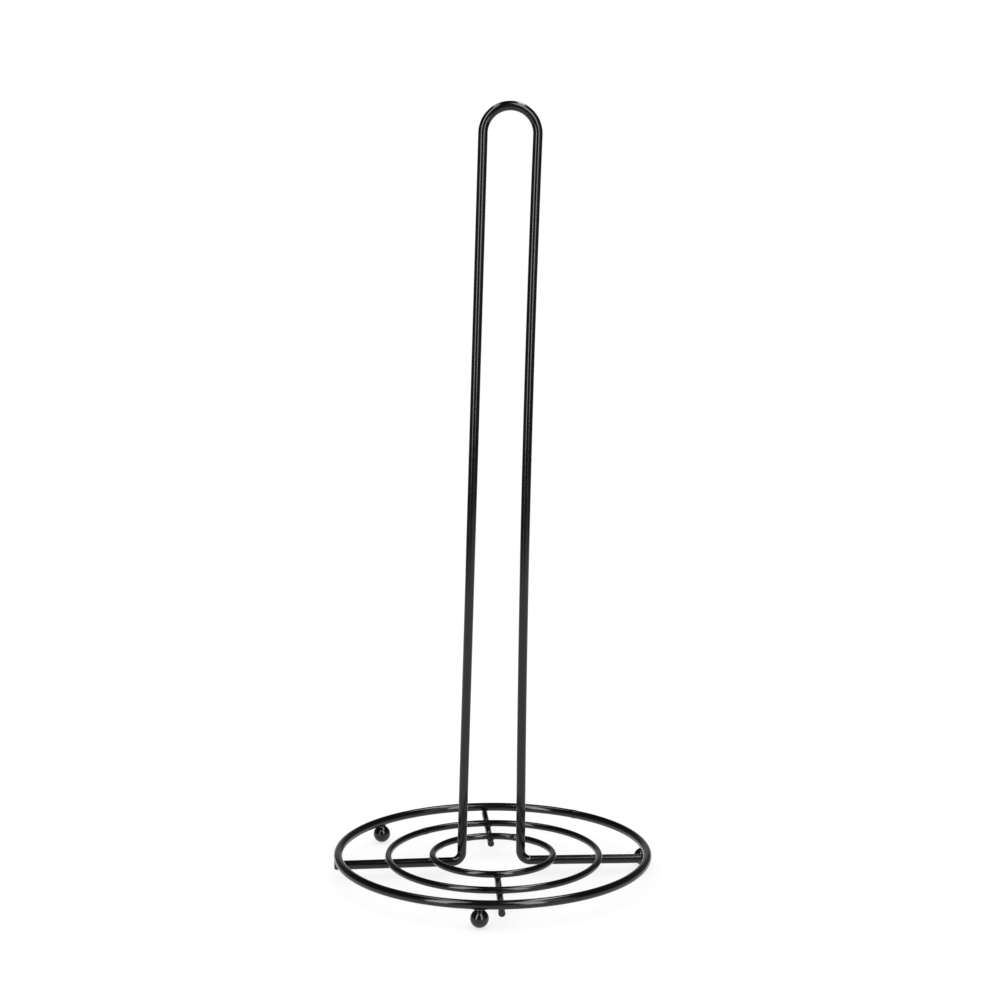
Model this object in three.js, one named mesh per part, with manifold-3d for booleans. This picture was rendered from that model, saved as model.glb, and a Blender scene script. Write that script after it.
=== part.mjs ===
// Free-standing paper towel holder in welded, black-coated steel wire.
// Millimetres, +Z up. The feet stand on Z = 0 and the rings' common axis is the Z axis.
// The upright loop stands in the XZ plane and the thin cross bars run along Y.

import * as THREE from 'three';
import { mergeVertices } from 'three/addons/utils/BufferGeometryUtils.js';
import Module from 'manifold-3d';

const wasm = await Module();
wasm.setup();

// ---- driving dimensions -------------------------------------------------

const OVERALL_HEIGHT = 350;
const OUTER_RING_R = 71.0; // the rings' radii are to the wire's centre line
const MIDDLE_RING_R = 48.4;
const INNER_RING_R = 27.7;
const MIDDLE_RING_CENTRE = { x: 0.4, y: -0.9 }; // the thin rings are welded slightly off centre
const INNER_RING_CENTRE = { x: 0, y: -0.4 };

const RING_WIRE_D = 4.0; // outer ring
const LOOP_WIRE_D = 4.2; // upright loop
const THIN_WIRE_D = 3.1; // middle ring, inner ring and cross bars
const BALL_D = 8.1; // 8 mm steel balls and their coating
const BALL_PAD_D = 2.0; // the small flat that each ball stands on

const WELD_SET = 0.6; // how far a thin ring sinks into what it is welded on
const WELD_GAP = 0.3; // clearance cut round a ring in whatever carries it

const ARCH_R = 12.07; // the loop's radii are to the centre line too
const FOOT_BEND_R = 4.6;
const LEFT_BEND_X = -18.85; // where the left foot run ends and its bend starts
const LEFT_LEG_LEAN = 1.67; // degrees from vertical, towards +X
const RIGHT_LEG_LEAN_TOP = 2.15; // the right leg is slightly bowed
const RIGHT_LEG_LEAN_FOOT = 0.15;
const FOOT_END_X = 72.8; // cut ends of both foot runs
const LEFT_FOOT_SWING = 1.7; // how far each cut end is swung towards -Y
const RIGHT_FOOT_SWING = 1.4;

const BALL_AZIMUTHS = {
  // degrees, anticlockwise from +X
  ball_foot_front: -98.6,
  ball_foot_rear_left: 134.9,
  ball_foot_right: 6.1,
};

const CROSS_BARS = {
  // near and far are the cut ends' distances along Y; skew is in degrees about Z
  front_cross_bar: { near: -22.9, far: -72.0, middleX: -0.35, skew: -1.9 },
  rear_cross_bar: { near: 22.9, far: 72.0, middleX: 0.95, skew: -0.25 },
};

// ---- heights, worked out from the wire sizes ------------------------------

const BALL_Z = Math.sqrt(BALL_D ** 2 - BALL_PAD_D ** 2) / 2;
const RING_Z = BALL_Z + (BALL_D + RING_WIRE_D) / 2;
const FOOT_Z = RING_Z - (RING_WIRE_D + LOOP_WIRE_D) / 2;
const THIN_RING_Z = FOOT_Z + (LOOP_WIRE_D + THIN_WIRE_D) / 2 - WELD_SET;
const CROSS_BAR_Z = RING_Z - (RING_WIRE_D + THIN_WIRE_D) / 2;
const ARCH_Z = OVERALL_HEIGHT - LOOP_WIRE_D / 2 - ARCH_R;

// ---- facet counts ---------------------------------------------------------

const THICK_SIDES = 16;
const THIN_SIDES = 12;
const ARCH_STEPS = 24;
const FOOT_BEND_STEPS = 8;
const BOWED_LEG_STEPS = 8;
const BALL_SIDES = 16;
const BALL_ARC_STEPS = 2;

// ---- helpers --------------------------------------------------------------

const { degToRad } = THREE.MathUtils;

// A closed three.js geometry as a manifold-3d solid.
function solidOf(geometry) {
  const bare = geometry.clone();
  bare.deleteAttribute('normal');
  bare.deleteAttribute('uv');
  const merged = mergeVertices(bare);
  return new wasm.Manifold(
    new wasm.Mesh({
      numProp: 3,
      vertProperties: merged.getAttribute('position').array,
      triVerts: new Uint32Array(merged.index.array),
    }),
  );
}

// A manifold-3d solid as a three.js geometry.
function geometryOf(solid) {
  const { vertProperties, triVerts } = solid.getMesh();
  const geometry = new THREE.BufferGeometry();
  geometry.setAttribute('position', new THREE.BufferAttribute(vertProperties, 3));
  geometry.setIndex(new THREE.BufferAttribute(triVerts, 1));
  geometry.computeVertexNormals();
  return geometry;
}

// Cuts a clearance round each of the named rings in a piece that carries them.
function relieve(geometry, ringNames) {
  let solid = solidOf(geometry);
  for (const name of ringNames) {
    solid = solid.subtract(solidOf(ringGeometry(RINGS[name], WELD_GAP)));
  }
  return geometryOf(solid);
}

// A regular polygon that stands for a round wire's section.
function wireSection(diameter, sides) {
  const points = [];
  for (let i = 0; i < sides; i += 1) {
    const angle = (i / sides) * 2 * Math.PI;
    points.push(new THREE.Vector2(Math.cos(angle), Math.sin(angle)).multiplyScalar(diameter / 2));
  }
  return new THREE.Shape(points);
}

// Traces a bent wire's centre line in the XZ plane, as straight lengths and round bends.
class WireTrace {
  constructor(x, z) {
    this.heading = 0;
    this.points = [new THREE.Vector3(x, 0, z)];
  }

  get end() {
    return this.points.at(-1);
  }

  straight(length) {
    const { x, z } = this.end;
    this.points.push(
      new THREE.Vector3(x + length * Math.cos(this.heading), 0, z + length * Math.sin(this.heading)),
    );
  }

  // A positive turn is to the left of the way the wire runs.
  bend(radius, turn, steps) {
    const side = Math.sign(turn);
    const start = this.heading;
    const centreX = this.end.x - side * radius * Math.sin(start);
    const centreZ = this.end.z + side * radius * Math.cos(start);
    for (let i = 1; i <= steps; i += 1) {
      this.heading = start + (turn * i) / steps;
      const x = centreX + side * radius * Math.sin(this.heading);
      const z = centreZ - side * radius * Math.cos(this.heading);
      this.points.push(new THREE.Vector3(x, 0, z));
    }
  }
}

// A curve through given points that gives an extrusion one step from each point to the next.
class StationCurve extends THREE.Curve {
  constructor(stations) {
    super();
    this.stations = stations;
  }

  getPoint(t, target = new THREE.Vector3()) {
    const place = THREE.MathUtils.clamp(t, 0, 1) * (this.stations.length - 1);
    const index = Math.min(Math.floor(place), this.stations.length - 2);
    return target.lerpVectors(this.stations[index], this.stations[index + 1], place - index);
  }

  getUtoTmapping(u) {
    return u;
  }
}

// ---- rings ----------------------------------------------------------------

const RINGS = {
  outer_ring: {
    radius: OUTER_RING_R,
    centre: new THREE.Vector3(0, 0, RING_Z),
    wire: RING_WIRE_D,
    sides: THICK_SIDES,
    steps: 80,
  },
  middle_ring: {
    radius: MIDDLE_RING_R,
    centre: new THREE.Vector3(MIDDLE_RING_CENTRE.x, MIDDLE_RING_CENTRE.y, THIN_RING_Z),
    wire: THIN_WIRE_D,
    sides: THIN_SIDES,
    steps: 64,
  },
  inner_ring: {
    radius: INNER_RING_R,
    centre: new THREE.Vector3(INNER_RING_CENTRE.x, INNER_RING_CENTRE.y, THIN_RING_Z),
    wire: THIN_WIRE_D,
    sides: THIN_SIDES,
    steps: 48,
  },
};

function ringGeometry({ radius, centre, wire, sides, steps }, margin = 0) {
  const ring = new THREE.TorusGeometry(radius, wire / 2 + margin, sides, steps);
  return ring.translate(centre.x, centre.y, centre.z);
}

// ---- upright loop ---------------------------------------------------------

// One wire: left foot run, left leg, arch, bowed right leg, right foot run.
function loopStations() {
  const leftLean = degToRad(LEFT_LEG_LEAN);
  const topLean = degToRad(RIGHT_LEG_LEAN_TOP);
  const footLean = degToRad(RIGHT_LEG_LEAN_FOOT);
  const quarter = Math.PI / 2;

  const trace = new WireTrace(LEFT_BEND_X, FOOT_Z);
  trace.bend(FOOT_BEND_R, quarter - leftLean, FOOT_BEND_STEPS);
  const archStartZ = ARCH_Z + ARCH_R * Math.sin(leftLean);
  trace.straight((archStartZ - trace.end.z) / Math.cos(leftLean));
  trace.bend(ARCH_R, leftLean - topLean - 2 * quarter, ARCH_STEPS);

  const legEndZ = FOOT_Z + FOOT_BEND_R * (1 + Math.sin(footLean));
  const bowRadius = (trace.end.z - legEndZ) / (Math.sin(topLean) - Math.sin(footLean));
  trace.bend(bowRadius, topLean - footLean, BOWED_LEG_STEPS);
  trace.bend(FOOT_BEND_R, quarter + footLean, FOOT_BEND_STEPS);

  return [
    new THREE.Vector3(-FOOT_END_X, -LEFT_FOOT_SWING, FOOT_Z),
    ...trace.points,
    new THREE.Vector3(FOOT_END_X, -RIGHT_FOOT_SWING, FOOT_Z),
  ];
}

function loopGeometry() {
  const stations = loopStations();
  const wire = new THREE.ExtrudeGeometry(wireSection(LOOP_WIRE_D, THICK_SIDES), {
    steps: stations.length - 1,
    extrudePath: new StationCurve(stations),
  });
  return relieve(wire, Object.keys(RINGS));
}

// ---- cross bars -----------------------------------------------------------

function crossBarGeometry({ near, far, middleX, skew }) {
  const radius = THIN_WIRE_D / 2;
  const bar = new THREE.CylinderGeometry(radius, radius, Math.abs(far - near), THIN_SIDES);
  bar.rotateZ(degToRad(skew));
  bar.translate(middleX, (near + far) / 2, CROSS_BAR_Z);
  return relieve(bar, Object.keys(RINGS));
}

// ---- ball feet ------------------------------------------------------------

function ballFootGeometry(azimuth) {
  const radius = BALL_D / 2;
  const padAngle = -Math.acos(BALL_PAD_D / BALL_D);
  const profile = new THREE.Path()
    .moveTo(0, -BALL_Z)
    .lineTo(BALL_PAD_D / 2, -BALL_Z)
    .absarc(0, 0, radius, padAngle, 0)
    .absarc(0, 0, radius, 0, Math.PI / 2);
  const ball = new THREE.LatheGeometry(profile.getPoints(BALL_ARC_STEPS), BALL_SIDES);
  const angle = degToRad(azimuth);
  ball.rotateX(Math.PI / 2);
  ball.translate(OUTER_RING_R * Math.cos(angle), OUTER_RING_R * Math.sin(angle), BALL_Z);
  return relieve(ball, ['outer_ring']);
}

// ---- assembly -------------------------------------------------------------

function blackWireMesh(name, geometry) {
  const material = new THREE.MeshStandardMaterial({ color: 0x161616, roughness: 0.35, metalness: 0 });
  const mesh = new THREE.Mesh(geometry, material);
  mesh.name = name;
  return mesh;
}

const holder = new THREE.Group();
for (const [name, ring] of Object.entries(RINGS)) {
  holder.add(blackWireMesh(name, ringGeometry(ring)));
}
holder.add(blackWireMesh('upright_loop', loopGeometry()));
for (const [name, bar] of Object.entries(CROSS_BARS)) {
  holder.add(blackWireMesh(name, crossBarGeometry(bar)));
}
for (const [name, azimuth] of Object.entries(BALL_AZIMUTHS)) {
  holder.add(blackWireMesh(name, ballFootGeometry(azimuth)));
}

export default holder;
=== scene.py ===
# Free-standing wire paper towel holder: fine wire meshes, weld fillets and a black coating
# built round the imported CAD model. Metres, +Z up, in the CAD model's own frame.
import math

import bpy
import numpy as np
from mathutils import Matrix, Vector


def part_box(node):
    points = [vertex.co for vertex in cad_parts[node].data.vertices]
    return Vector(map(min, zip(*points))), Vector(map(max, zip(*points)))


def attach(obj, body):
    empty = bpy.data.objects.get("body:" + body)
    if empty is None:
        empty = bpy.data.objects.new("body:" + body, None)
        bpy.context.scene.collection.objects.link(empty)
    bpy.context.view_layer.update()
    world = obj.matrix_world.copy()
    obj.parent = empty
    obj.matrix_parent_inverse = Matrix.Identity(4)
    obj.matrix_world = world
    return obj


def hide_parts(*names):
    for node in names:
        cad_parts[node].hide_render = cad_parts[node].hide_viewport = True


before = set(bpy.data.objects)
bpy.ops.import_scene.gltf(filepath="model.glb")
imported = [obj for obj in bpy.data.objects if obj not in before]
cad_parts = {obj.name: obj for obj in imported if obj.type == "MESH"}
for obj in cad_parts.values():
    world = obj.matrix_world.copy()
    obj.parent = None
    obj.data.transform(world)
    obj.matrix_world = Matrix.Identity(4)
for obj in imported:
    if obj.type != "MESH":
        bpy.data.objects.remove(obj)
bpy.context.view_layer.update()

MM = 0.001
MICRON = 1e-6
BODY = "root"

# ---- dimensions that the CAD model's boxes don't give -----------------------------

ARCH_R = 12.07 * MM                 # centre-line radii
FOOT_BEND_R = 4.6 * MM
LEFT_BEND_X = -18.85 * MM
LEFT_LEG_LEAN = math.radians(1.67)
RIGHT_LEG_LEAN_TOP = math.radians(2.15)
RIGHT_LEG_LEAN_FOOT = math.radians(0.15)
LEFT_FOOT_SWING = 1.7 * MM          # how far each foot run's end is swung towards -Y
RIGHT_FOOT_SWING = 1.4 * MM
CROSS_BAR_SKEW = {"front_cross_bar": math.radians(-1.9), "rear_cross_bar": math.radians(-0.25)}
BALL_PAD_R = 1.0 * MM

# ---- finish of the metalwork --------------------------------------------------

LOOP_END_ROUNDING = 0.9 * MM        # sheared ends, rounded by the coating
BAR_END_ROUNDING = 0.6 * MM
PAD_ROUNDING = 0.25 * MM            # edge of the worn flat under each ball
FILLET = 0.8 * MM                   # reach of the weld metal in the crook between two wires
NECK_FILLET = 1.3 * MM              # and between a ball and the ring above it
FILLET_EXTENT = 3.2 * MM            # how far a fillet's mesh may run from the point of contact
NECK_EXTENT = 4.0 * MM
FILLET_SINK = 0.02 * MM             # how deep a fillet's mesh lies in a wire, away from the crook
BUTT_WELD_RISE = 0.13 * MM          # swelling where a ring's two ends are joined
BUTT_WELD_WIDTH = 1.3 * MM
BUTT_WELD_AZIMUTH = {"outer_ring": 52.0, "middle_ring": 128.0, "inner_ring": 64.0}  # degrees

COATING_IOR = 1.45
COATING_SCUFFED = (0.05, 0.05, 0.052, 1)    # colour where the table has rubbed it
SCUFF_TOP = 0.6 * MM                        # scuffs start below this height
SCUFF_FULL = 0.1 * MM

# ---- facets of the fine meshes -----------------------------------------------------

RING_SIDES = {"outer_ring": 36, "middle_ring": 32, "inner_ring": 32}
RING_STEPS = {"outer_ring": 360, "middle_ring": 280, "inner_ring": 200}
BUTT_WELD_STEPS = 25
LOOP_SIDES = 32
LEG_STEP = 5 * MM
FOOT_STEP = 4 * MM
BAR_STEP = 2 * MM
ARCH_STEPS = 72
FOOT_BEND_STEPS = 30
BOWED_LEG_STEPS = 64
BAR_SIDES = 28
BALL_COLUMNS = 64
BALL_ROWS = 44
FILLET_COLUMNS = 64
FILLET_ROWS = 40
MARCH_STEPS = 72          # samples along each of a fillet's rays
BISECTION_STEPS = 12      # halvings that place its surface between two samples

# ---- camera and studio ----------------------------------------------------------

CAMERA_AZIMUTH = math.radians(4.08)     # how far round towards -X from straight in front
CAMERA_DISTANCE = 0.9051                # level distance from the rings' axis
CAMERA_HEIGHT = 0.3074
CAMERA_YAW = math.radians(4.272)        # clockwise from +Y
CAMERA_PITCH = math.radians(8.391)      # below the horizon
CAMERA_ROLL = math.radians(0.114)
LENS_MM = 73.40
SENSOR_MM = 36.0

WHITE = (1, 1, 1, 1)
FLOOR_WIDTH = 1.6
FLOOR_LEVEL = -0.2 * MM                 # a little below the feet, which stand at zero
FLOOR_COLOUR = (0.36, 0.36, 0.36, 1)
FLOOR_GLOW = 0.70
WORLD_STRENGTH = 1.01
STRIP_HEIGHT = 1.0
STRIP_LENGTH = 0.8
STRIP_MIDDLE_Y = 0.2


# ---- mesh helpers ----------------------------------------------------------------

def node_centre(node):
    low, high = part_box(node)
    return (np.array(low) + np.array(high)) / 2


def node_size(node):
    low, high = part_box(node)
    return np.array(high) - np.array(low)


def add_piece(name, vertices, faces, material, replaced=None):
    """A smooth-shaded mesh object that rides on the holder and wears the coating material it is given."""
    mesh = bpy.data.meshes.new(name)
    mesh.from_pydata([tuple(v) for v in vertices], [], faces)
    mesh.polygons.foreach_set("use_smooth", [True] * len(mesh.polygons))
    mesh.materials.append(material)
    mesh.update()
    piece = bpy.data.objects.new(name, mesh)
    bpy.context.scene.collection.objects.link(piece)
    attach(piece, BODY)
    if replaced:
        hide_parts(replaced)
    return piece


def grid_faces(rows, columns, wrap_rows):
    """Quads over rows of vertices, each row a closed ring of columns."""
    faces = []
    for i in range(rows if wrap_rows else rows - 1):
        here, there = i * columns, ((i + 1) % rows) * columns
        for j in range(columns):
            k = (j + 1) % columns
            faces.append((here + j, here + k, there + k, there + j))
    return faces


def sweep(centres, radii, plane_normal, sides, closed):
    """Vertices and faces of a round wire along centres, which lie close to a plane."""
    centres = np.asarray(centres, float)
    if closed:
        tangents = np.roll(centres, -1, axis=0) - np.roll(centres, 1, axis=0)
    else:
        tangents = np.gradient(centres, axis=0)
    tangents /= np.linalg.norm(tangents, axis=1, keepdims=True)
    across = np.cross(plane_normal, tangents)
    across /= np.linalg.norm(across, axis=1, keepdims=True)
    upward = np.cross(tangents, across)
    angles = np.arange(sides) * 2 * math.pi / sides
    radii = np.broadcast_to(radii, len(centres))[:, None, None]
    rings = across[:, None] * np.cos(angles)[None, :, None] + upward[:, None] * np.sin(angles)[None, :, None]
    vertices = (centres[:, None] + rings * radii).reshape(-1, 3)
    faces = grid_faces(len(centres), sides, closed)
    if closed:
        return vertices, faces
    first, last = len(vertices), len(vertices) + 1
    vertices = np.vstack([vertices, centres[0], centres[-1]])
    base = (len(centres) - 1) * sides
    for j in range(sides):
        k = (j + 1) % sides
        faces.append((first, k, j))
        faces.append((last, base + j, base + k))
    return vertices, faces


def round_ends(centres, radius, rounding, steps=6):
    """Adds stations at both ends of an open wire so that its cut ends have rounded edges."""
    centres = [np.asarray(c, float) for c in centres]
    angles = np.linspace(0, math.pi / 2, steps)
    setbacks = rounding * (1 - np.cos(angles))
    inset = radius - rounding + rounding * np.sin(angles)
    start = (centres[1] - centres[0]) / np.linalg.norm(centres[1] - centres[0])
    end = (centres[-2] - centres[-1]) / np.linalg.norm(centres[-2] - centres[-1])
    points = [centres[0] + start * s for s in setbacks]
    points += centres[1:-1]
    points += [centres[-1] + end * s for s in setbacks[::-1]]
    radii = list(inset) + [radius] * (len(centres) - 2) + list(inset[::-1])
    return points, np.array(radii)


def divide(start, end, step):
    """Points from start to end, about step apart, both ends included."""
    start, end = np.asarray(start, float), np.asarray(end, float)
    count = max(2, int(round(np.linalg.norm(end - start) / step)) + 1)
    return [start + (end - start) * t for t in np.linspace(0, 1, count)]


# ---- distances to the wires, for the weld fillets --------------------------------

def ring_distance(centre, ring_radius, wire_radius):
    def distance(p):
        reach = np.hypot(p[..., 0] - centre[0], p[..., 1] - centre[1]) - ring_radius
        return np.hypot(reach, p[..., 2] - centre[2]) - wire_radius
    return distance


def straight_distance(start, end, wire_radius):
    """The distance to a straight wire that is cut off flat at both ends."""
    start, end = np.asarray(start, float), np.asarray(end, float)
    along = (end - start) / np.linalg.norm(end - start)

    def distance(p):
        off_axis = np.linalg.norm(np.cross(p - start, along), axis=-1) - wire_radius
        return np.maximum(off_axis, np.maximum((start - p) @ along, (p - end) @ along))
    return distance


def ball_distance(centre, radius):
    def distance(p):
        return np.linalg.norm(p - centre, axis=-1) - radius
    return distance


def crossing(ring_centre, ring_radius, start, end):
    """Where a straight wire passes under a ring's centre line, as a point on the straight wire."""
    run = end - start
    from_centre = (start - ring_centre)[:2]
    a = run[:2] @ run[:2]
    b = 2 * from_centre @ run[:2]
    c = from_centre @ from_centre - ring_radius ** 2
    root = math.sqrt(b * b - 4 * a * c)
    choices = [(-b - root) / (2 * a), (-b + root) / (2 * a)]
    return start + run * min(choices, key=lambda t: abs(t - 0.5))


def weld_fillet(name, centre, first, second, fillet, extent, material):
    """The weld metal in the crook between two touching surfaces, as a closed blob round their contact.

    Every vertex lies on a ray from the contact, where the ray leaves the smooth union of the two
    surfaces. Away from the crook the blob stays just under the wires' own surface.
    """
    columns, rows = FILLET_COLUMNS, FILLET_ROWS
    polar = np.linspace(0, math.pi, rows + 2)[1:-1]
    azimuth = np.arange(columns) * 2 * math.pi / columns
    rays = np.stack([
        np.sin(polar)[:, None] * np.cos(azimuth)[None, :],
        np.sin(polar)[:, None] * np.sin(azimuth)[None, :],
        np.repeat(np.cos(polar)[:, None], columns, axis=1),
    ], axis=-1).reshape(-1, 3)
    rays = np.vstack([rays, [0, 0, 1], [0, 0, -1]])

    def outside(t):
        p = centre + rays * t[:, None]
        a, b = first(p), second(p)
        blend = np.maximum(fillet - np.abs(a - b), 0) / fillet
        return np.minimum(a, b) - blend ** 2 * fillet / 4 + FILLET_SINK > 0

    low = np.zeros(len(rays))
    high = np.full(len(rays), extent)
    found = np.zeros(len(rays), bool)
    for t in np.linspace(extent / MARCH_STEPS, extent, MARCH_STEPS):
        hit = outside(np.full(len(rays), t)) & ~found
        high[hit] = t
        low[~found & ~hit] = t
        found |= hit
    for _ in range(BISECTION_STEPS):
        middle = (low + high) / 2
        out = outside(middle)
        high = np.where(out & found, middle, high)
        low = np.where(~out & found, middle, low)
    vertices = centre + rays * np.where(found, (low + high) / 2, extent)[:, None]
    faces = [tuple(reversed(f)) for f in grid_faces(rows, columns, False)]
    top, bottom = rows * columns, rows * columns + 1
    last_row = (rows - 1) * columns
    for j in range(columns):
        k = (j + 1) % columns
        faces.append((top, j, k))
        faces.append((bottom, last_row + k, last_row + j))
    return add_piece(name, vertices, faces, material)


# ---- the wires ----------------------------------------------------------------------

def build_ring(node, material):
    """A ring's fine mesh, with the slight swelling of its butt weld. Returns its centre and radii."""
    size = node_size(node)
    wire_radius = size[2] / 2
    ring_radius = size[0] / 2 - wire_radius
    centre = node_centre(node)
    weld = math.radians(BUTT_WELD_AZIMUTH[node])
    # Closely spaced stations, over three widths of the weld on either side of it.
    near_weld = weld + np.linspace(-3, 3, BUTT_WELD_STEPS) * BUTT_WELD_WIDTH / ring_radius
    spread = np.linspace(near_weld[-1], near_weld[0] + 2 * math.pi, RING_STEPS[node])[1:-1]
    angles = np.concatenate([near_weld, spread])
    offset = (angles - weld + math.pi) % (2 * math.pi) - math.pi
    swelling = BUTT_WELD_RISE * np.exp(-(offset * ring_radius / BUTT_WELD_WIDTH) ** 2)
    centres = centre + ring_radius * np.stack([np.cos(angles), np.sin(angles), np.zeros_like(angles)], axis=1)
    vertices, faces = sweep(centres, wire_radius + swelling, (0, 0, 1), RING_SIDES[node], True)
    add_piece(node + "_wire", vertices, faces, material, node)
    return centre, ring_radius, wire_radius


class WireTrace:
    """Traces a bent wire's centre line in the XZ plane as straight lengths and round bends."""

    def __init__(self, x, z):
        self.heading = 0.0
        self.points = [np.array([x, 0.0, z])]

    def straight(self, length, step):
        direction = np.array([math.cos(self.heading), 0.0, math.sin(self.heading)])
        self.points += divide(self.points[-1], self.points[-1] + direction * length, step)[1:]

    def bend(self, radius, turn, steps):
        """A positive turn is to the left of the way the wire runs."""
        side = math.copysign(1, turn)
        start = self.heading
        centre = self.points[-1] + side * radius * np.array([-math.sin(start), 0.0, math.cos(start)])
        for i in range(1, steps + 1):
            self.heading = start + turn * i / steps
            spoke = np.array([math.sin(self.heading), 0.0, -math.cos(self.heading)])
            self.points.append(centre + side * radius * spoke)


def node_loop_radius(node):
    """The loop's wire radius, read off the top of its arch, where only the wire's own width spans Y."""
    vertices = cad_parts[node].data.vertices
    top = max(v.co.z for v in vertices)
    return max(abs(v.co.y) for v in vertices if v.co.z > top - ARCH_R)


def foot_end_inset(wire_radius, swing):
    """How much further along X a skewed cut end's corner reaches than its centre."""
    run_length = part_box("outer_ring")[1][0] - abs(LEFT_BEND_X)
    return wire_radius * swing / run_length


def build_loop(node, material):
    """The upright loop, one wire. Returns the ends of its left and right foot runs and its wire radius."""
    low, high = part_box(node)
    wire_radius = node_loop_radius(node)
    foot_z = low[2] + wire_radius
    arch_z = high[2] - wire_radius - ARCH_R
    trace = WireTrace(LEFT_BEND_X, foot_z)
    trace.bend(FOOT_BEND_R, math.pi / 2 - LEFT_LEG_LEAN, FOOT_BEND_STEPS)
    arch_start_z = arch_z + ARCH_R * math.sin(LEFT_LEG_LEAN)
    leg_length = (arch_start_z - trace.points[-1][2]) / math.cos(LEFT_LEG_LEAN)
    trace.straight(leg_length, LEG_STEP)
    trace.bend(ARCH_R, LEFT_LEG_LEAN - RIGHT_LEG_LEAN_TOP - math.pi, ARCH_STEPS)
    leg_end_z = foot_z + FOOT_BEND_R * (1 + math.sin(RIGHT_LEG_LEAN_FOOT))
    drop = trace.points[-1][2] - leg_end_z
    bow_radius = drop / (math.sin(RIGHT_LEG_LEAN_TOP) - math.sin(RIGHT_LEG_LEAN_FOOT))
    trace.bend(bow_radius, RIGHT_LEG_LEAN_TOP - RIGHT_LEG_LEAN_FOOT, BOWED_LEG_STEPS)
    trace.bend(FOOT_BEND_R, math.pi / 2 + RIGHT_LEG_LEAN_FOOT, FOOT_BEND_STEPS)
    left_end = np.array([low[0] + foot_end_inset(wire_radius, LEFT_FOOT_SWING), -LEFT_FOOT_SWING, foot_z])
    right_end = np.array([high[0] - foot_end_inset(wire_radius, RIGHT_FOOT_SWING), -RIGHT_FOOT_SWING, foot_z])
    left_run = divide(left_end, trace.points[0], FOOT_STEP)
    right_run = divide(trace.points[-1], right_end, FOOT_STEP)
    centres, radii = round_ends(left_run[:-1] + trace.points + right_run[1:], wire_radius, LOOP_END_ROUNDING)
    vertices, faces = sweep(centres, radii, (0, -1, 0), LOOP_SIDES, False)
    add_piece(node + "_wire", vertices, faces, material, node)
    return (left_end, trace.points[0]), (trace.points[-1], right_end), wire_radius


def build_cross_bar(node, wire_radius, material):
    """A thin straight bar, skewed slightly about Z. Returns the ends of its centre line."""
    skew = CROSS_BAR_SKEW[node]
    centre = node_centre(node)
    size = node_size(node)
    half = (size[1] - 2 * wire_radius * abs(math.sin(skew))) / 2
    along = np.array([-math.sin(skew), math.cos(skew), 0.0])
    start, end = centre - along * half, centre + along * half
    centres, radii = round_ends(divide(start, end, BAR_STEP), wire_radius, BAR_END_ROUNDING)
    vertices, faces = sweep(centres, radii, (0, 0, 1), BAR_SIDES, False)
    add_piece(node + "_wire", vertices, faces, material, node)
    return start, end


def build_ball(node, material):
    """A ball foot, flattened where it stands. Returns its centre and radius."""
    low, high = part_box(node)
    radius = (high[0] - low[0]) / 2
    centre = node_centre(node)
    centre[2] = low[2] + math.sqrt(radius ** 2 - BALL_PAD_R ** 2)
    columns = BALL_COLUMNS
    pad_angle = math.acos(BALL_PAD_R / radius)
    latitudes = np.linspace(-pad_angle, math.pi / 2, BALL_ROWS)[1:-1]
    profile = [(BALL_PAD_R / 2, low[2]), (BALL_PAD_R - PAD_ROUNDING / 2, low[2])]
    profile += [(radius * math.cos(a), centre[2] + radius * math.sin(a)) for a in latitudes]
    azimuth = np.arange(columns) * 2 * math.pi / columns
    x, y = centre[0], centre[1]
    rings = [
        np.stack([x + r * np.cos(azimuth), y + r * np.sin(azimuth), np.full(columns, z)], axis=1)
        for r, z in profile
    ]
    vertices = np.vstack(rings + [[x, y, low[2]], [x, y, centre[2] + radius]])
    faces = grid_faces(len(profile), columns, False)
    bottom, top = len(vertices) - 2, len(vertices) - 1
    last_row = (len(profile) - 1) * columns
    for j in range(columns):
        k = (j + 1) % columns
        faces.append((bottom, k, j))
        faces.append((top, last_row + j, last_row + k))
    add_piece(node + "_ball", vertices, faces, material, node)
    return centre, radius


# ---- materials -------------------------------------------------------------------------

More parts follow.
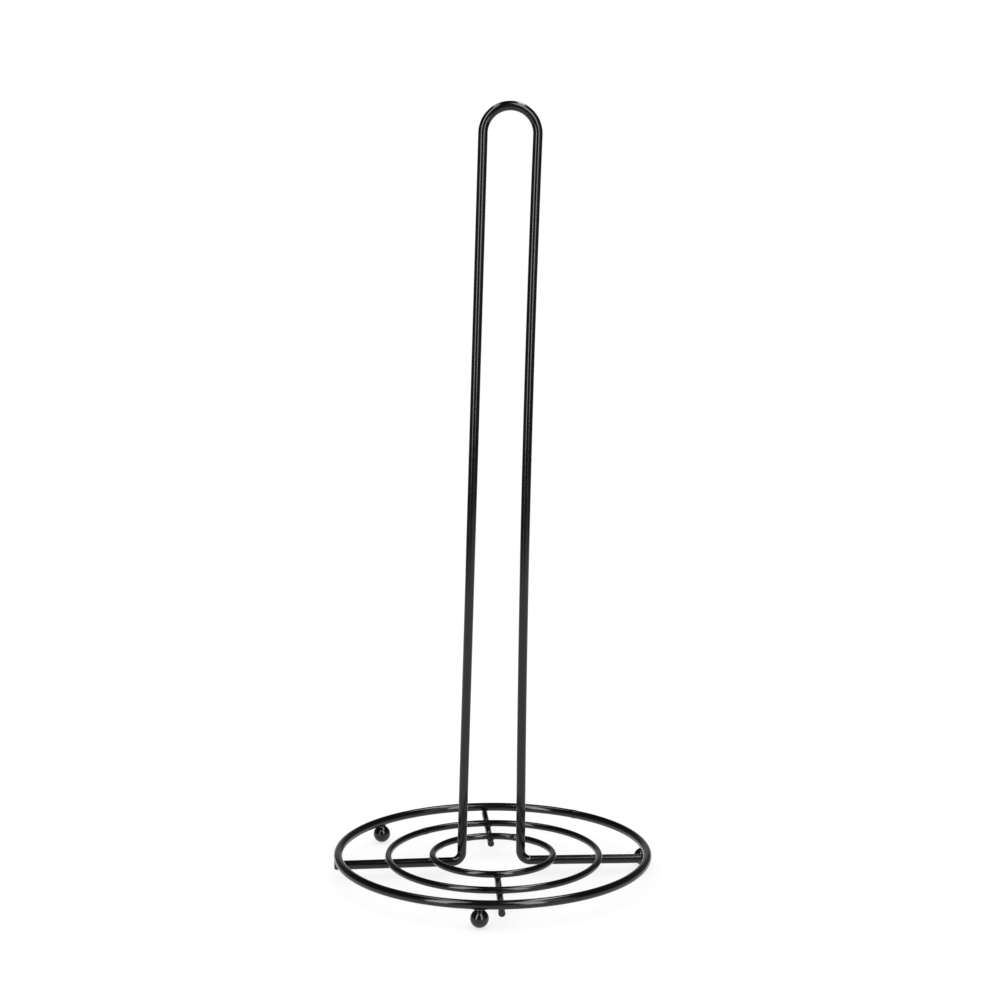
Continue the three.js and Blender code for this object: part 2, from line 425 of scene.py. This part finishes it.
def coating_material(name, base, roughness, roughness_spread, bump_height, pit_amount):
    """Smooth black coating: faint orange peel, uneven gloss, sparse pits, a scuffed underside.

    Noise scales are in features per metre, and heights are in metres.
    """
    material = bpy.data.materials.new(name)
    material.use_nodes = True
    nodes, links = material.node_tree.nodes, material.node_tree.links
    shader = nodes["Principled BSDF"]
    shader.inputs["IOR"].default_value = COATING_IOR
    place = nodes.new("ShaderNodeTexCoord").outputs["Object"]

    def noise(scale, detail):
        node = nodes.new("ShaderNodeTexNoise")
        node.inputs["Scale"].default_value = scale
        node.inputs["Detail"].default_value = detail
        links.new(place, node.inputs["Vector"])
        return node.outputs["Fac"]

    def remap(value, low, high, to_low, to_high):
        node = nodes.new("ShaderNodeMapRange")
        for socket, number in zip(("From Min", "From Max", "To Min", "To Max"), (low, high, to_low, to_high)):
            node.inputs[socket].default_value = number
        links.new(value, node.inputs["Value"])
        return node.outputs["Result"]

    def maths(operation, a, b):
        node = nodes.new("ShaderNodeMath")
        node.operation = operation
        for socket, value in zip(node.inputs, (a, b)):
            if isinstance(value, (int, float)):
                socket.default_value = value
            else:
                links.new(value, socket)
        return node.outputs["Value"]

    height = nodes.new("ShaderNodeSeparateXYZ")
    links.new(place, height.inputs["Vector"])
    underside = remap(height.outputs["Z"], SCUFF_TOP, SCUFF_FULL, 0.0, 1.0)
    scratches = remap(noise(scale=2600, detail=3), 0.35, 0.6, 0.2, 1.0)
    scuffs = maths("MULTIPLY", underside, scratches)
    pits = remap(noise(scale=3400, detail=1), 0.70, 0.76, 0.0, pit_amount)

    glossiest, dullest = roughness - roughness_spread, roughness + roughness_spread
    gloss_drift = remap(noise(scale=70, detail=4), 0.3, 0.7, glossiest, dullest)
    dulled = maths("ADD", maths("MULTIPLY", scuffs, 0.3), maths("MULTIPLY", pits, 0.35))
    links.new(maths("ADD", gloss_drift, dulled), shader.inputs["Roughness"])

    shade = nodes.new("ShaderNodeMix")
    shade.data_type = "RGBA"
    shade.inputs["A"].default_value = (base, base, base, 1)
    shade.inputs["B"].default_value = COATING_SCUFFED
    cloudy = remap(noise(scale=45, detail=3), 0.35, 0.75, 0.0, 0.06)
    links.new(maths("ADD", cloudy, maths("MULTIPLY", scuffs, 0.7)), shade.inputs["Factor"])
    links.new(shade.outputs["Result"], shader.inputs["Base Color"])

    peel = maths("ADD", noise(scale=900, detail=3), maths("MULTIPLY", noise(scale=260, detail=2), 0.8))
    bump = nodes.new("ShaderNodeBump")
    bump.inputs["Strength"].default_value = 1.0
    bump.inputs["Distance"].default_value = bump_height
    links.new(maths("SUBTRACT", peel, maths("MULTIPLY", pits, 0.8)), bump.inputs["Height"])
    links.new(bump.outputs["Normal"], shader.inputs["Normal"])
    return material


wire_coating = coating_material(
    "black_coated_wire",
    base=0.0020,
    roughness=0.13,
    roughness_spread=0.03,
    bump_height=9 * MICRON,
    pit_amount=0.6,
)
weld_coating = coating_material(
    "black_coated_weld",
    base=0.0024,
    roughness=0.18,
    roughness_spread=0.05,
    bump_height=26 * MICRON,
    pit_amount=1.0,
)
ball_coating = coating_material(
    "black_coated_ball",
    base=0.0020,
    roughness=0.11,
    roughness_spread=0.03,
    bump_height=8 * MICRON,
    pit_amount=0.6,
)

# ---- assembly -----------------------------------------------------------------------------

rings = {node: build_ring(node, wire_coating) for node in BUTT_WELD_AZIMUTH}
left_foot, right_foot, loop_radius = build_loop("upright_loop", wire_coating)
thin_radius = rings["middle_ring"][2]
carriers = {
    "left_foot": (*left_foot, loop_radius),
    "right_foot": (*right_foot, loop_radius),
}
for bar in CROSS_BAR_SKEW:
    carriers[bar] = (*build_cross_bar(bar, thin_radius, wire_coating), thin_radius)

for ring_name, (ring_centre, ring_radius, ring_wire) in rings.items():
    for carrier_name, (start, end, carrier_wire) in carriers.items():
        contact = crossing(ring_centre, ring_radius, start, end)
        contact[2] = (contact[2] + carrier_wire + ring_centre[2] - ring_wire) / 2
        weld_fillet(
            "weld_" + ring_name + "_" + carrier_name,
            contact,
            ring_distance(ring_centre, ring_radius, ring_wire),
            straight_distance(start, end, carrier_wire),
            FILLET,
            FILLET_EXTENT,
            weld_coating,
        )

outer_centre, outer_radius, outer_wire = rings["outer_ring"]
for node in [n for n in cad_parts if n.startswith("ball_foot")]:
    ball_centre, ball_radius = build_ball(node, ball_coating)
    contact = ball_centre + np.array([0, 0, ball_radius])
    weld_fillet(
        "weld_neck_" + node,
        contact,
        ring_distance(outer_centre, outer_radius, outer_wire),
        ball_distance(ball_centre, ball_radius),
        NECK_FILLET,
        NECK_EXTENT,
        weld_coating,
    )


# ---- studio -----------------------------------------------------------------------------------

def build_floor():
    """A plain white light table: its own glow keeps the shadows on it faint."""
    mesh = bpy.data.meshes.new("floor")
    half = FLOOR_WIDTH / 2
    corners = [(x, y, FLOOR_LEVEL) for x, y in ((-half, -half), (half, -half), (half, half), (-half, half))]
    mesh.from_pydata(corners, [], [(0, 1, 2, 3)])
    material = bpy.data.materials.new("white_floor")
    material.use_nodes = True
    shader = material.node_tree.nodes["Principled BSDF"]
    shader.inputs["Base Color"].default_value = FLOOR_COLOUR
    shader.inputs["Roughness"].default_value = 1.0
    shader.inputs["Specular IOR Level"].default_value = 0.0
    shader.inputs["Emission Color"].default_value = WHITE
    shader.inputs["Emission Strength"].default_value = FLOOR_GLOW
    mesh.materials.append(material)
    floor = bpy.data.objects.new("floor", mesh)
    bpy.context.scene.collection.objects.link(floor)


def build_light(name, place, target, width, length, radiance):
    """A plain rectangular light facing target. Only gloss sees it: the world lights everything matt."""
    light = bpy.data.lights.new(name, "AREA")
    light.shape = "RECTANGLE"
    light.size = width
    light.size_y = length
    light.energy = radiance * math.pi * width * length
    lamp = bpy.data.objects.new(name, light)
    lamp.location = place
    lamp.rotation_euler = (Vector(target) - Vector(place)).to_track_quat("-Z", "Y").to_euler()
    lamp.visible_diffuse = False
    lamp.visible_camera = False
    bpy.context.scene.collection.objects.link(lamp)


def build_softbox(name, azimuth, elevation, distance, width, length, radiance):
    """A softbox aimed at the rings. Azimuth in degrees from the camera's side, towards +X."""
    turn = math.radians(azimuth) - CAMERA_AZIMUTH
    rise = math.radians(elevation)
    level = distance * math.cos(rise)
    place = (level * math.sin(turn), -level * math.cos(turn), distance * math.sin(rise))
    build_light(name, place, (0, 0, 0), width, length, radiance)


def build_overhead_strip(name, x, width, radiance):
    """A long light above the holder that faces straight down and runs from front to back."""
    place, target = (x, STRIP_MIDDLE_Y, STRIP_HEIGHT), (x, STRIP_MIDDLE_Y, 0)
    build_light(name, place, target, width, STRIP_LENGTH, radiance)


def build_world():
    """White to the camera and to matt surfaces. Gloss sees a dim studio instead.

    It is nearly black overhead and dark grey all round, with a paler patch of backdrop behind.
    """
    world = bpy.data.worlds.new("studio")
    bpy.context.scene.world = world
    world.use_nodes = True
    nodes, links = world.node_tree.nodes, world.node_tree.links
    nodes.clear()
    direction = nodes.new("ShaderNodeTexCoord").outputs["Generated"]
    axes = nodes.new("ShaderNodeSeparateXYZ")
    links.new(direction, axes.inputs["Vector"])

    def ramp(value, low, high, to_low, to_high):
        node = nodes.new("ShaderNodeMapRange")
        node.interpolation_type = "SMOOTHSTEP"
        for socket, number in zip(("From Min", "From Max", "To Min", "To Max"), (low, high, to_low, to_high)):
            if isinstance(number, (int, float)):
                node.inputs[socket].default_value = number
            else:
                links.new(number, node.inputs[socket])
        links.new(value, node.inputs["Value"])
        return node.outputs["Result"]

    walls = ramp(axes.outputs["Y"], low=0.89, high=0.95, to_low=0.16, to_high=0.50)
    studio = ramp(axes.outputs["Z"], low=0.30, high=0.60, to_low=walls, to_high=0.03)
    gloss = nodes.new("ShaderNodeBackground")
    links.new(studio, gloss.inputs["Strength"])
    white = nodes.new("ShaderNodeBackground")
    white.inputs["Color"].default_value = WHITE
    white.inputs["Strength"].default_value = WORLD_STRENGTH
    rays = nodes.new("ShaderNodeLightPath")
    choice = nodes.new("ShaderNodeMixShader")
    links.new(rays.outputs["Is Glossy Ray"], choice.inputs["Fac"])
    links.new(white.outputs["Background"], choice.inputs[1])
    links.new(gloss.outputs["Background"], choice.inputs[2])
    output = nodes.new("ShaderNodeOutputWorld")
    links.new(choice.outputs["Shader"], output.inputs["Surface"])


def build_camera():
    camera_data = bpy.data.cameras.new("camera")
    camera_data.lens = LENS_MM
    camera_data.sensor_width = SENSOR_MM
    camera_data.clip_start = 0.01
    camera = bpy.data.objects.new("camera", camera_data)
    place = Matrix.Translation((
        -CAMERA_DISTANCE * math.sin(CAMERA_AZIMUTH),
        -CAMERA_DISTANCE * math.cos(CAMERA_AZIMUTH),
        CAMERA_HEIGHT,
    ))
    turn = Matrix.Rotation(-CAMERA_YAW, 4, "Z") @ Matrix.Rotation(math.pi / 2 - CAMERA_PITCH, 4, "X")
    camera.matrix_world = place @ turn @ Matrix.Rotation(CAMERA_ROLL, 4, "Z")
    bpy.context.scene.collection.objects.link(camera)
    bpy.context.scene.camera = camera


build_floor()
build_world()
build_softbox("softbox_left", azimuth=-38, elevation=34, distance=1.2, width=0.34, length=1.5, radiance=8.0)
build_softbox("softbox_right", azimuth=29, elevation=34, distance=1.2, width=0.32, length=1.5, radiance=8.0)
build_softbox("fill_right", azimuth=50, elevation=34, distance=1.25, width=0.36, length=1.3, radiance=1.2)
build_overhead_strip("strip_left", x=-0.26, width=0.16, radiance=4.2)
build_overhead_strip("strip_right", x=0.30, width=0.18, radiance=8.4)
build_camera()
bpy.context.scene.view_settings.view_transform = "Standard"
